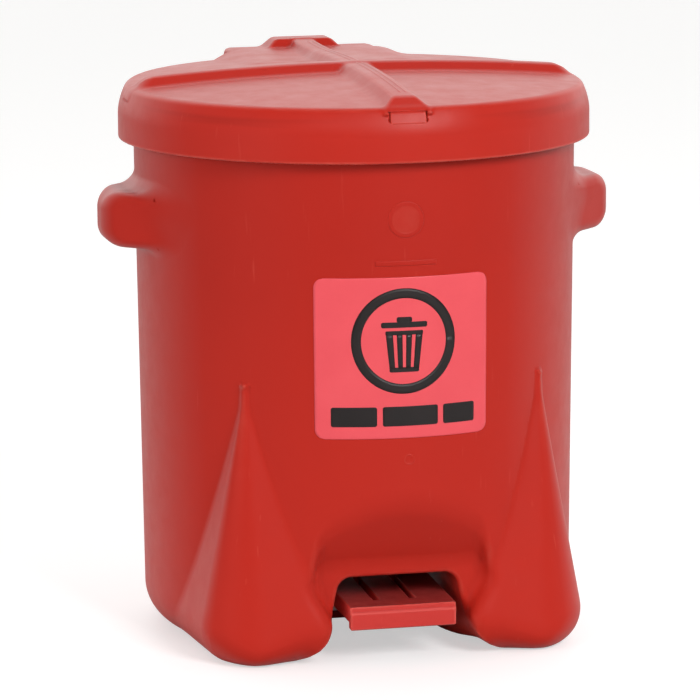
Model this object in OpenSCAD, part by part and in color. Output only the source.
// Step-on waste can: round moulded body on two front feet, domed lid with
// crossed ribs, rear hinge, and a treadle that lifts the lid with a rod.
// Front is -Y, +Z is up. The origin is the can's axis at floor level.

/* [Body] */
// Outer radius of the body at the floor
body_r0 = 156.6; // [150:0.2:157]
// Outer radius of the body at the rim
body_r1 = 160.5; // [158:0.25:162]
// Height of the body's rim above the floor
rim_z = 394.2; // [393:0.1:394.4]
// Wall thickness of the moulded body
wall = 4; // [3:0.5:5]
// Radius of the rounded bottom edge
foot_r = 24; // [12:1:28]
// Height of the tip of each front fin
fin_h = 199; // [150:1:210]
// Radius of each fin's nose at the floor
fin_nose_r = 47; // [36:1:50]
// Direction of each fin, from straight ahead
fin_ang = 42.5; // [40:0.5:45]
// Outer reach of each carrying lug from the can's axis
lug_reach = 189; // [176:1:192]
// Half width of each carrying lug's flat end
lug_half = 17; // [12:0.5:24]

/* [Pedal recess] */
// Half width of the recess above the pedal
recess_half = 62; // [56:1:64]
// Half width of the lever channel under the floor
channel_half = 47; // [44:1:50]
// Height of the lever channel's roof
channel_z = 62; // [60:1:64]

/* [Lid] */
// Outer radius of the lid's skirt
lid_r = 171.5; // [170:0.5:174]
// Lower edge of the lid's skirt
skirt_z = 359.7; // [355:0.5:364]
// Crown height of the lid at its centre
crown_z = 406; // [404:0.5:408]
// Height of the crossed ribs above the crown
rib_h = 6; // [4:0.5:7]
// Base width of each rib
rib_w = 27; // [22:1:32]

/* [Mechanism] */
// Height of the lid hinge axis
hinge_z = 362; // [360:0.5:364]
// Distance of the lid hinge axis behind the can's axis
hinge_y = 190; // [188:0.5:192]
// Diameter of the hinge pin
hinge_d = 6; // [5:0.5:6]
// Lid crank radius, hinge axis to lift pin
crank_r = 20; // [18:0.5:21]
// Height of the treadle's pivot
pivot_z = 36; // [34:0.5:38]
// Distance of the treadle's pivot behind the can's axis
pivot_y = 20; // [15:1:25]
// Diameter of the treadle's pivot rod
pivot_d = 8; // [6:0.5:8]
// Diameter of the lift rod
rod_d = 6; // [5:0.5:6]
// Half width of the tread
tread_half = 38.6; // [34:0.2:41]

/* [Hidden] */
$fn = 96;

RED = [0.72, 0.15, 0.13];
DARK_RED = [0.62, 0.12, 0.11];
PINK = [0.94, 0.37, 0.40];
ZINC = [0.72, 0.73, 0.74];
OFF_WHITE = [0.85, 0.85, 0.82];
BLACK = [0.16, 0.16, 0.17];
SIDES = [-1, 1]; // left, right

// Linkage: the closed crank hangs crank_angle below level, in front of the hinge
crank_angle = 30;
half_lift = crank_r * sin(crank_angle);
crank_pin_y = hinge_y - crank_r * cos(crank_angle);
crank_pin_z = hinge_z - half_lift;
rod_y = hinge_y - crank_r * (1 + cos(crank_angle)) / 2;
half_swing = asin(half_lift / (rod_y - pivot_y));
seat_y = pivot_y + (rod_y - pivot_y) * cos(half_swing); // rod seat in the lever
seat_z = pivot_z - half_lift;

gap = 0.05;                // between touching parts
steel = 2.5;               // sheet of the lever, its brackets and the lift bracket's plate
pilot_r = 1.95;            // screw pilot holes
rear_y = 186;              // rear face of the pilasters
pad_z = channel_z - 10;    // underside of the screw pads in the lever channel
lid_pad_z = 398;           // underside of the lift bracket's pad in the lid
guide_lower_z = 140;
guide_upper_z = 290;
guide_t = 3;               // plate of each rod guide
knuckle_r = 12;            // hinge ears and lid knuckles

// ---------- placing helpers ----------
// left edge of a width that starts `inner` from the centre plane, on either side
function left_edge(side, inner, width) = side > 0 ? inner : -inner - width;

// extrudes a [y, z] outline along +X from x
module slab(x, width) translate([x, 0, 0]) rotate([90, 0, 90]) linear_extrude(width) children();
module side_slab(side, inner, width) slab(left_edge(side, inner, width), width) children();

// turns +Z to +X (or -X with side -1) at a point
module along_x(x, y, z, side = 1) translate([x, y, z]) rotate([0, side * 90, 0]) children();

// bars on the hinge and pivot axes, centred across the can
module hinge_bar(half, play = 0)
  along_x(-half, hinge_y, hinge_z) cylinder(d = hinge_d + play, h = 2 * half);
module pivot_bar(half, play = 0)
  along_x(-half, pivot_y, pivot_z) cylinder(d = pivot_d + play, h = 2 * half);

// ---------- fasteners ----------
module screw_hole(r, h) cylinder(r = r, h = h, $fn = 24);

// cross-slotted screw pointing up, its head below z = 0
module pan_screw(length) {
  head_h = 2.2;
  cylinder(r = 1.85, h = length, $fn = 24);
  translate([0, 0, -head_h]) difference() {
    cylinder(r1 = 2.9, r2 = 3.7, h = head_h, $fn = 24);
    for (a = [0, 90]) rotate([0, 0, a]) translate([-2, -0.4, -1]) cube([4, 0.8, 2]);
  }
}
module push_cap(shaft_d, r, h) {
  bore_r = shaft_d / 2 + 0.02;
  difference() {
    union() {
      cylinder(r = r, h = h * 0.55);
      cylinder(r1 = r * 0.8, r2 = bore_r + 1.2, h = h);
    }
    translate([0, 0, -1]) cylinder(r = bore_r, h = h + 2);
  }
}

// screw places
TREAD_SCREWS = [[-122, 32.18, 9.2], [-72, 33.12, 11]]; // [y, top of head, depth of hole]
tread_screw_x = -2;
module at_pivot_screws(z, sides = SIDES)
  for (s = sides) for (dy = [-8, 8]) translate([s * 37, pivot_y + dy, z]) children();
module at_guide_screws(y, heights)
  for (s = SIDES) for (z = heights) translate([s * 26, y, z]) rotate([90, 0, 0]) children();
module at_lid_screws(z)
  for (x = [-9, 14]) translate([x, 176, z]) children();

// ---------- body ----------
// outer radius of the body at height z
function body_r(z) = body_r0 + (body_r1 - body_r0) * min(1, z / skirt_z);

// turned body, moved inward by inset and closed off at top_z
module body_turned(inset, top_z) {
  edge_r = foot_r - inset;
  rotate_extrude($fn = 160) polygon(concat(
    [[0, inset]],
    [for (a = [0:15:90])
      [body_r0 - foot_r + edge_r * sin(a), foot_r - edge_r * cos(a)]],
    [[body_r1 - inset, skirt_z], [body_r1 - inset, top_z], [0, top_z]]));
}

// one front fin, tapering up to its tip; grow is negative for its hollow
module fin(side, grow) {
  slice_h = 0.01;
  tip_reach = body_r0 + 1.4 + grow;
  nose = [side * 98.5, -105.5];
  tip = [side * tip_reach * sin(fin_ang), -tip_reach * cos(fin_ang)];
  tip_z = fin_h + 4.5 * min(grow, 0);
  // [height, inset] of the slices up the rounded bottom edge
  slices = [[max(-grow, 0), foot_r], [0.29 * foot_r, 0.29 * foot_r], [foot_r, 0]];
  hull() {
    for (slice = slices) {
      z = slice[0];
      inset = slice[1];
      rise = z / fin_h;
      translate([0, 0, z]) {
        cylinder(r = body_r0 - 0.8 + grow - inset, h = slice_h, $fn = 72);
        translate(nose * (1 - rise) + tip * rise)
          cylinder(r = max(2, fin_nose_r * (1 - rise) + grow - inset), h = slice_h, $fn = 40);
      }
    }
    translate([tip[0], tip[1], tip_z - 1.5]) sphere(r = 1.2, $fn = 14);
  }
}

// front recess over the pedal, its roof sloping up and forward
module recess(grow) {
  outline = [ // [y, z]
    [-131 + grow, -5], [-131 + grow, 68.4 + 0.5 * grow], [-157.4 + grow, 113.8 + 0.5 * grow],
    [-190, 170], [-230, 170], [-230, -5]];
  slab(-(recess_half + grow), 2 * (recess_half + grow)) polygon(outline);
}

// lever channel from front to rear, narrowing upward to a round-cornered roof
module channel(grow) {
  roof = channel_z + grow;
  half = channel_half + grow;
  corner = 12;
  front = -140;
  rear = 230;
  translate([0, rear, 0]) rotate([90, 0, 0]) linear_extrude(rear - front) polygon(concat(
    [[-half, -5]],
    [for (s = SIDES) for (turn = [0:15:90])
      let (a = (s < 0 ? 180 : 90) - turn)
      [s * (half - 3 - corner) + corner * cos(a), roof - corner + corner * sin(a)]],
    [[half, -5]]));
}

// carrying lug: tapers outward in plan, rounded at its end; grow is negative for its hollow
module lug(side, grow) {
  inner_x = 90;
  bottom = 286;
  height = 40;
  end_r = 14;
  end_x = lug_reach - end_r;
  low_z = bottom + end_r;
  high_z = bottom + height - end_r;
  plan = [ // [x, y]
    [inner_x, -54], [152, -53], [lug_reach, -lug_half],
    [lug_reach, lug_half], [152, 53], [inner_x, 54]];
  mirror([side < 0 ? 1 : 0, 0, 0]) intersection() {
    translate([0, 0, 280]) linear_extrude(50) offset(r = 8) offset(delta = grow - 8)
      polygon(plan);
    translate([0, 60, 0]) rotate([90, 0, 0]) linear_extrude(120) union() {
      translate([inner_x, bottom - grow]) square([end_x - inner_x, height + 2 * grow]);
      for (z = [low_z, high_z]) translate([end_x, z]) circle(r = end_r + grow);
      translate([lug_reach + grow - 18, low_z]) square([18, high_z - low_z]);
    }
  }
}

// rear pilasters beside the rod groove
pilaster_x = 12;
pilaster_w = 28;
module pilaster(side) {
  outline = [[146, 70], [152, 70], [rear_y, 104], [rear_y, 345], [146, 345]]; // [y, z]
  side_slab(side, pilaster_x, pilaster_w) polygon(outline);
}
module pilaster_hollow(side) {
  outline = [[140, 92], [156, 92], [174, 110], [174, 337], [140, 337]]; // [y, z]
  side_slab(side, pilaster_x + wall, pilaster_w - 2 * wall) polygon(outline);
}
module ear(side) {
  web = [ // [y, z]
    [172, 338], [rear_y, 338], [hinge_y + 11, hinge_z - 5], [hinge_y - 8, hinge_z + 9]];
  side_slab(side, 20, 20) union() {
    translate([hinge_y, hinge_z]) circle(r = knuckle_r);
    polygon(web);
  }
}

module body_outside() {
  body_turned(0, rim_z);
  for (s = SIDES) {
    fin(s, 0);
    lug(s, 0);
    pilaster(s);
  }
}
module waste_cavity() difference() {
  union() {
    body_turned(wall, rim_z + 5);
    for (s = SIDES) {
      fin(s, -wall);
      lug(s, -wall);
      pilaster_hollow(s);
    }
  }
  channel(wall);
  recess(wall);
}

// plain round medallion and bar, raised on the body's front
module medallion() {
  disc_z = 319;
  intersection() {
    difference() {
      cylinder(r = body_r(disc_z) + 0.6, h = 350, $fn = 160);
      translate([0, 0, -1]) cylinder(r = body_r(280) - 1, h = 352, $fn = 160);
    }
    union() {
      translate([0, -140, disc_z]) rotate([90, 0, 0]) cylinder(r = 13, h = 30);
      translate([-22, -170, 286.5]) cube([44, 40, 4]);
    }
  }
}

module body_shell() color(RED) difference() {
  union() {
    difference() {
      body_outside();
      waste_cavity();
      channel(0);
      recess(0);
    }
    for (s = SIDES) ear(s);
    // low tie across the lever channel
    translate([-50.5, -12, 0]) cube([101, 24, 6]);
    // screw pads under the channel roof
    for (s = SIDES) translate([left_edge(s, 26, 19), pivot_y - 14, pad_z]) cube([19, 28, 11]);
    medallion();
  }
  hinge_bar(60, play = 0.06);
  at_pivot_screws(pad_z - 1) screw_hole(pilot_r, 10.5);
  at_guide_screws(rear_y + 1, [guide_lower_z, guide_upper_z]) screw_hole(pilot_r, 10);
}

// round-cornered label, wrapped on the body's front
module front_label() {
  width = 123.6;
  height = 114.5;
  corner = 7;
  inner_r = 0.04; // radii beyond the body's
  outer_r = 0.44;
  low_z = 150;
  high_z = 295;
  color(PINK) intersection() {
    rotate_extrude($fn = 160) polygon([
      [body_r(low_z) + inner_r, low_z], [body_r(low_z) + outer_r, low_z],
      [body_r(high_z) + outer_r, high_z], [body_r(high_z) + inner_r, high_z]]);
    translate([-0.6, -100, 221.3]) rotate([90, 0, 0]) linear_extrude(90) union() {
      square([width, height - 2 * corner], center = true);
      square([width - 2 * corner, height], center = true);
      for (sx = SIDES) for (sy = SIDES)
        translate([sx * (width / 2 - corner), sy * (height / 2 - corner)])
          circle(r = corner, $fn = 32);
    }
  }
}

// ---------- hinge hardware ----------
module hinge_pin() color(ZINC) hinge_bar(60);
module hinge_pin_caps() color(ZINC) for (s = SIDES)
  along_x(s * 56.6, hinge_y, hinge_z, s) push_cap(hinge_d, r = 7, h = 2.4);

// ---------- lid ----------
shoulder_r = 166;       // where the crown meets the bevelled edge
housing_half = 56;      // half width of the rear housing
cheek_w = 15;
cheek_x = housing_half - cheek_w;
housing_inner = housing_half - wall;

// height of the crown at radius r
function crown(r) = crown_z - 8 * (r / shoulder_r) * (r / shoulder_r);
function crown_points(shift) = [for (r = [150:-25:0]) [r, crown(r) + shift]];

// domed disc with bevelled edge, its top raised by rise
module lid_dome(rise) rotate_extrude($fn = 160) polygon(concat(
  [[0, skirt_z], [lid_r, skirt_z], [lid_r, 390 + rise * 0.3],
    [shoulder_r + rise * 0.2, 398 + rise]],
  crown_points(rise)));
module lid_hollow() rotate_extrude($fn = 160) polygon(concat(
  [[0, skirt_z - 1], [lid_r - wall, skirt_z - 1], [lid_r - wall, 388.5], [163.5, 394.3]],
  crown_points(-wall)));

module rib_profile() {
  half = rib_w / 2;
  polygon([ // [across, z]
    [-half, 380], [half, 380], [half, 400], [half - 6.5, 408],
    [half - 7.5, 416], [-half + 7.5, 416], [-half + 6.5, 408], [-half, 400]]);
}
module crossed_ribs() intersection() {
  lid_dome(rib_h);
  union() {
    translate([0, 172, 0]) rotate([90, 0, 0]) linear_extrude(343.2) rib_profile();
    translate([0, -3, 0]) slab(-172, 344) rib_profile();
  }
}

// rear housing: roof with rear wall, rib block and cheeks, hollowed from below
module rear_housing() {
  // outlines are [y, z]
  roof = [
    [112, 398], [128, 405.7], [178, 405.7], [196, 403], [204, 395], [204, 372], [200, 372],
    [156, 372], [140, 394.5], [112, 397]];
  rib_block = [[161, 403], [170, 412], [188, 412], [195, 403.5], [195, 401]];
  cheek = [
    [hinge_y - knuckle_r, hinge_z], [hinge_y + knuckle_r, hinge_z],
    [204, 373], [200, 396], [166, 396], [166, 368]];
  inside = [
    [118, 350], [118, 394.6], [138, 394.6], [146, 401.7], [177, 401.7], [194, 399.2],
    [200, 393.4], [200, 371], [204.5, 371], [204.5, 350]];
  difference() {
    union() {
      slab(-housing_half, 2 * housing_half) polygon(roof);
      slab(-26, 52) polygon(rib_block);
      for (s = SIDES) side_slab(s, cheek_x, cheek_w) union() {
        translate([hinge_y, hinge_z]) circle(r = knuckle_r);
        polygon(cheek);
      }
    }
    slab(-housing_inner, 2 * housing_inner) polygon(inside);
    lid_hollow();
  }
}

// hinge knuckle with its web up to the housing roof
module knuckle(side) {
  web = [ // [y, z]
    [hinge_y - knuckle_r, hinge_z], [hinge_y + knuckle_r, hinge_z],
    [202, 372], [200, 396], [180, 399]];
  along_x(left_edge(side, cheek_x, cheek_w), hinge_y, hinge_z)
    cylinder(r = knuckle_r, h = cheek_w);
  side_slab(side, cheek_x, cheek_w) polygon(web);
}

module lid() color(RED) difference() {
  union() {
    difference() {
      union() {
        lid_dome(0);
        crossed_ribs();
      }
      lid_hollow();
      // clear the skirt inside the rear housing
      translate([-housing_inner, 120, skirt_z - 1])
        cube([2 * housing_inner, 60, 394.3 - skirt_z + 1]);
      translate([-housing_inner, 150, 394.2]) cube([2 * housing_inner, 32, 7.5]);
    }
    rear_housing();
    for (s = SIDES) knuckle(s);
    // pad for the lift bracket under the housing roof
    translate([-16, 165, lid_pad_z]) cube([34, 24, 4.5]);
  }
  hinge_bar(70, play = 0.14);
  at_lid_screws(lid_pad_z - 2) screw_hole(pilot_r, 12);
}

// steel crank fixed under the lid's rear roof
lift_plate_top = lid_pad_z - 2 * gap;
lift_plate_z = lift_plate_top - steel;
module lift_bracket() {
  // outlines are [y, z]
  arm = [
    [crank_pin_y - 4.2, crank_pin_z + 7.3], [hinge_y - 4.5, hinge_z + 7.8],
    [hinge_y + 4.5, hinge_z - 7.8], [crank_pin_y + 4.2, crank_pin_z - 7.3]];
  hanger = [
    [hinge_y - 9, hinge_z], [hinge_y + 7, hinge_z + 5], [195, 382],
    [188, lift_plate_top], [166, lift_plate_top], [172, 386]];
  color(ZINC) difference() {
    union() {
      slab(6, 3) union() {
        translate([hinge_y, hinge_z]) circle(r = 9);
        translate([crank_pin_y, crank_pin_z]) circle(r = 8.4);
        polygon(arm);
        polygon(hanger);
      }
      translate([-15, 166, lift_plate_z]) cube([32, 22, steel]);
    }
    along_x(0, hinge_y, hinge_z) cylinder(d = hinge_d + 0.6, h = 12);
    along_x(0, crank_pin_y, crank_pin_z) cylinder(d = rod_d + 3.4, h = 12);
    at_lid_screws(lid_pad_z - 5) screw_hole(2.3, 8);
  }
}
module lift_bracket_screws() color(ZINC) at_lid_screws(lift_plate_z - gap) pan_screw(10.4);

// ---------- treadle ----------
module pedal_tread() {
  // outlines are [y, z]
  plate = [
    [-146.4, 32], [-146.4, 40], [-145.4, 41], [-58, 43.6], [-56, 42.6], [-56, 36.6],
    [-136, 35.0], [-138, 33]];
  front_lip = [
    [-147.2, 24.6], [-147.2, 36.2], [-146.4, 37], [-146.4, 40], [-140.5, 38],
    [-140.5, 25.4], [-141.6, 24], [-146.6, 24]];
  slot_w = 4.8;
  color(DARK_RED) difference() {
    union() for (outline = [plate, front_lip])
      slab(-tread_half, 2 * tread_half) polygon(outline);
    // long slots in the tread
    for (x = [-15.5, 11]) translate([x - slot_w / 2, -129, 30]) cube([slot_w, 66, 20]);
    for (screw = TREAD_SCREWS)
      translate([tread_screw_x, screw[0], 30]) screw_hole(pilot_r, screw[2]);
  }
}

// lever: a folded channel, open below; outlines are [y, z]
lever_half = 20;
LEVER_TOP = [[-132, 34.6], [-58, 36], [-30, 40.5], [20, 45], [120, 40.5], [181, 36.5]];
LEVER_BOTTOM = [[181, 17.5], [162, 16.6], [120, 24], [20, 27], [-50, 28.5], [-132, 29]];
module lever_side(side) side_slab(side, lever_half - steel, steel) union() {
  polygon(concat(LEVER_TOP, LEVER_BOTTOM));
  translate([pivot_y, pivot_z]) circle(r = 9.6);
}
module pedal_lever() color(ZINC) difference() {
  union() {
    for (s = SIDES) lever_side(s);
    slab(-lever_half, 2 * lever_half) polygon(concat(
      LEVER_TOP,
      [for (i = [len(LEVER_TOP) - 1:-1:0]) LEVER_TOP[i] - [0, steel]]));
  }
  pivot_bar(30, play = 0.12);
  along_x(10, seat_y, seat_z) cylinder(d = rod_d + 1.6, h = 20);
  // notch that the rod passes through
  translate([-7, 158, 20]) cube([24, 40, 40]);
  for (screw = TREAD_SCREWS) translate([tread_screw_x, screw[0], 20]) screw_hole(2.2, 20);
}
module tread_screws() color(ZINC) for (screw = TREAD_SCREWS)
  translate([tread_screw_x, screw[0], screw[1]]) pan_screw(6.4);

module pivot_rod() color(ZINC) pivot_bar(36);
module pivot_rod_caps() color(ZINC) for (s = SIDES)
  along_x(s * 30, pivot_y, pivot_z, s) push_cap(pivot_d, r = 8, h = 2.6);
module pivot_spacers() color(OFF_WHITE) for (s = SIDES)
  along_x(s * 20.3, pivot_y, pivot_z, s) difference() {
    cylinder(r = 6.5, h = 6.4);
    translate([0, 0, -1]) cylinder(d = pivot_d + 0.12, h = 10);
  }

// angle bracket: upright leg round the pivot, flange out under the screw pad
module pivot_bracket(side) {
  inner = 27;
  flange_w = 16;
  depth = 26;
  front = pivot_y - depth / 2;
  top = pad_z - gap;
  color(ZINC) difference() {
    union() {
      side_slab(side, inner, steel) union() {
        translate([pivot_y, pivot_z]) circle(r = 10);
        translate([front, pivot_z]) square([depth, top - pivot_z]);
      }
      translate([left_edge(side, inner, flange_w), front, top - steel])
        cube([flange_w, depth, steel]);
    }
    pivot_bar(50, play = 0.08);
    at_pivot_screws(pad_z - 10, [side]) screw_hole(2.1, 20);
  }
}
module pivot_bracket_left() pivot_bracket(-1);
module pivot_bracket_right() pivot_bracket(1);
module pivot_bracket_screws() color(ZINC)
  at_pivot_screws(pad_z - steel - 2 * gap) pan_screw(10.5);

// ---------- lift rod and its guides ----------
// upright rod, bent at both ends into pins pointing to +X
module lift_rod() {
  rod_r = rod_d / 2;
  bend_r = 5;
  // [pin height, direction to the upright, bend's start angle, pin length]
  ends = [[seat_z, 1, 180, 21.5], [crank_pin_z, -1, 90, 11]];
  color(ZINC) {
    translate([0, rod_y, seat_z + bend_r])
      cylinder(r = rod_r, h = crank_pin_z - seat_z - 2 * bend_r);
    for (end = ends) {
      translate([bend_r, rod_y, end[0] + end[1] * bend_r])
        rotate([90, 0, 0]) rotate([0, 0, end[2]])
          rotate_extrude(angle = 90) translate([bend_r, 0]) circle(r = rod_r, $fn = 48);
      along_x(bend_r, rod_y, end[0]) cylinder(r = rod_r, h = end[3]);
    }
  }
}
module lift_rod_cap(x, z) color(ZINC) along_x(x, rod_y, z) push_cap(rod_d, r = 6.4, h = 2.4);
module lift_rod_cap_upper() lift_rod_cap(10.2, crank_pin_z);
module lift_rod_cap_lower() lift_rod_cap(21, seat_z);

// plate across the pilasters with a bored block reaching into the groove
module rod_guide(z) color(BLACK) difference() {
  union() {
    translate([-34, rear_y + gap, z - 10]) cube([68, guide_t, 20]);
    translate([-8, 164, z - 8]) cube([16, 23, 16]);
  }
  translate([0, rod_y, z - 20]) cylinder(d = rod_d + 0.5, h = 40);
  at_guide_screws(rear_y + 14, [z]) screw_hole(2.1, 20);
}
module rod_guide_upper() rod_guide(guide_upper_z);
module rod_guide_lower() rod_guide(guide_lower_z);
module rod_guide_screws() color(ZINC)
  at_guide_screws(rear_y + guide_t + 2 * gap, [guide_lower_z, guide_upper_z]) pan_screw(11);

body_shell();
front_label();
hinge_pin();
hinge_pin_caps();
pivot_bracket_left();
pivot_bracket_right();
pivot_bracket_screws();
pivot_rod();
pivot_rod_caps();
pivot_spacers();
rod_guide_upper();
rod_guide_lower();
rod_guide_screws();
lid();
lift_bracket();
lift_bracket_screws();
pedal_tread();
pedal_lever();
tread_screws();
lift_rod();
lift_rod_cap_upper();
lift_rod_cap_lower();
